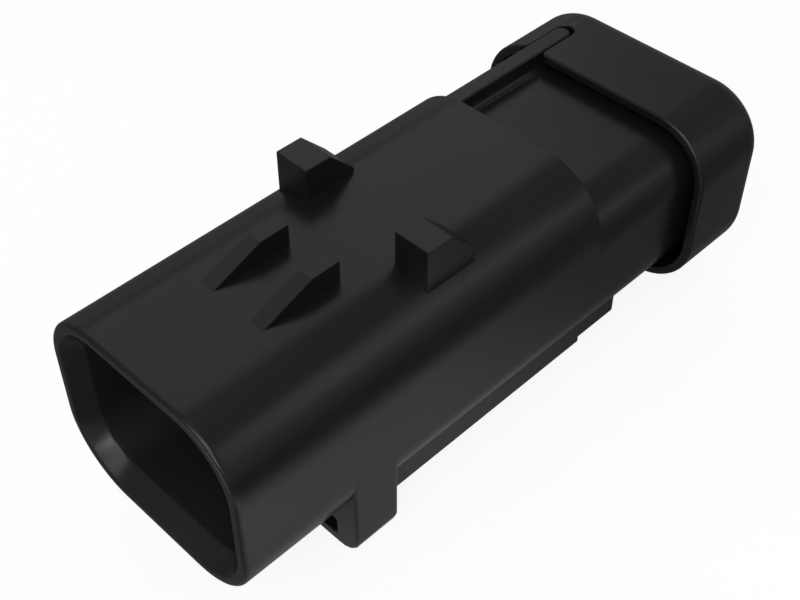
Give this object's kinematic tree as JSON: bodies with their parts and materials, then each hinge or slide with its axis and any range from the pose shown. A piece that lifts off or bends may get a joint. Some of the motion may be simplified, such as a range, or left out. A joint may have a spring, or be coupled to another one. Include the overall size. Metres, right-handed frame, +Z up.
{
  "type": "sealed connector plug",
  "caption": "Rounded rectangular sealed connector plug: a deep hood round contact pins, latch ramps on top, a clip bridge below, and a slotted push-on cap over the wire end.",
  "frame": {"origin": "under the middle of the plug's whole width and length, level with the foot of the clip bridge", "axes": "+Y from the mouth towards the wire end, +Z up towards the latch side, X across"},
  "size_m": [0.0258, 0.0622, 0.0258],
  "materials": {
    "housing": "satin moulded thermoplastic",
    "rear_cap": "satin moulded thermoplastic",
    "pin_lock": "satin moulded thermoplastic",
    "wire_seal": "matt silicone rubber",
    "contact": "nickel plated, semi-bright"
  },
  "bodies": {
    "body": {"housing": "housing", "wire_seal": "wire_seal", "pin_contact_1": "contact", "pin_contact_2": "contact", "pin_contact_3": "contact", "pin_contact_4": "contact"},
    "cap_body": {"rear_cap": "rear_cap"},
    "lock_body": {"pin_lock": "pin_lock"}
  },
  "joints": [
    {"name": "rear_cap_slide", "type": "slide", "parent": "body", "child": "cap_body", "axis": [0, 1, 0], "range_m": [0, 0.012]},
    {"name": "pin_lock_slide", "type": "slide", "parent": "body", "child": "lock_body", "axis": [0, -1, 0], "range_m": [0, 0.0355]}
  ]
}
